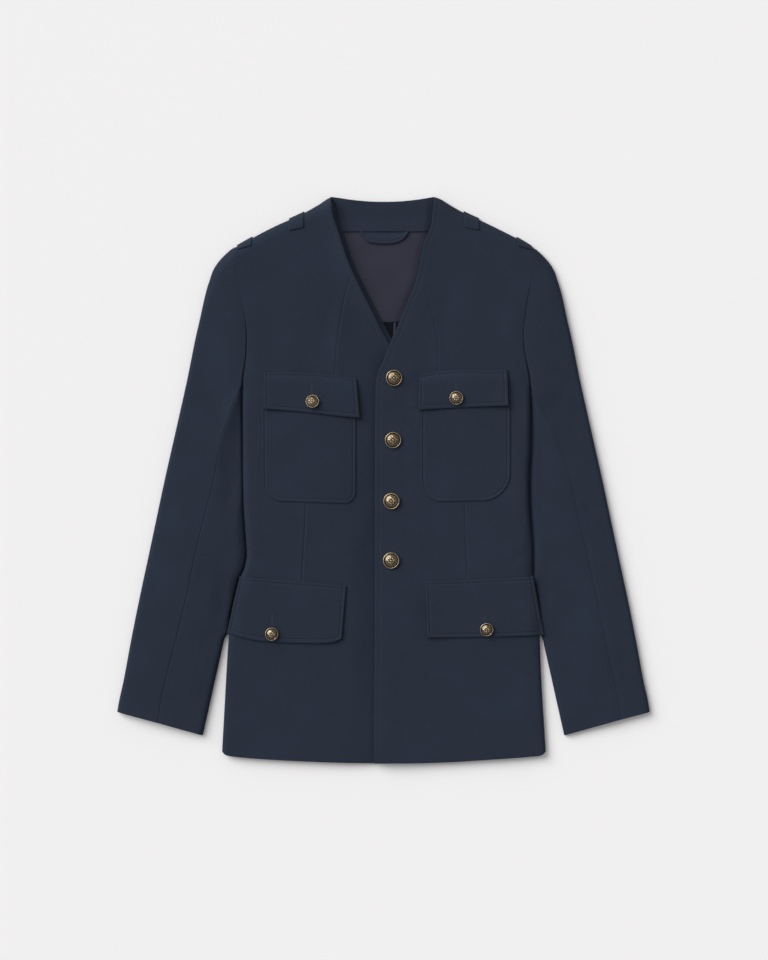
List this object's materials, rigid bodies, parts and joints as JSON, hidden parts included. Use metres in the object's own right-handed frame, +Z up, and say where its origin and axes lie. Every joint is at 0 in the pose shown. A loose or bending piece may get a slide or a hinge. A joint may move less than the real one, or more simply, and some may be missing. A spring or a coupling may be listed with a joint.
{
  "type": "military jacket",
  "caption": "Collarless V-neck military jacket laid flat and buttoned, with two-piece sleeves, patch chest pockets and hip flaps.",
  "frame": {"origin": "on the surface the jacket lies on, under the middle of its outline", "axes": "+Z up from the surface, +Y to the neck, +X to the wearer's left"},
  "size_m": [0.666, 0.7063, 0.0188],
  "materials": {
    "navy_wool": "dark navy wool twill, matt",
    "purple_lining": "dark purple-grey lining, slight sheen",
    "navy_satin": "dark navy satin lining",
    "antique_brass": "antique brass, dull, darkened in the relief"
  },
  "bodies": {
    "root": {"back": "navy_wool", "back_neck_facing": "navy_wool", "lining_yoke": "purple_lining", "lining_lower": "navy_satin", "hanger_loop": "navy_wool", "front_right": "navy_wool", "front_left": "navy_wool", "sleeve_top_right": "navy_wool", "sleeve_top_left": "navy_wool", "sleeve_under_right": "navy_wool", "sleeve_under_left": "navy_wool", "chest_pocket_right": "navy_wool", "chest_pocket_left": "navy_wool", "chest_flap_right": "navy_wool", "chest_flap_left": "navy_wool", "hip_flap_right": "navy_wool", "hip_flap_left": "navy_wool", "shoulder_loop_right_inner": "navy_wool", "shoulder_loop_right_outer": "navy_wool", "shoulder_loop_left_inner": "navy_wool", "shoulder_loop_left_outer": "navy_wool", "front_button_1": "antique_brass", "front_button_2": "antique_brass", "front_button_3": "antique_brass", "front_button_4": "antique_brass", "chest_button_right": "antique_brass", "chest_button_left": "antique_brass", "hip_button_right": "antique_brass", "hip_button_left": "antique_brass"}
  },
  "joints": []
}
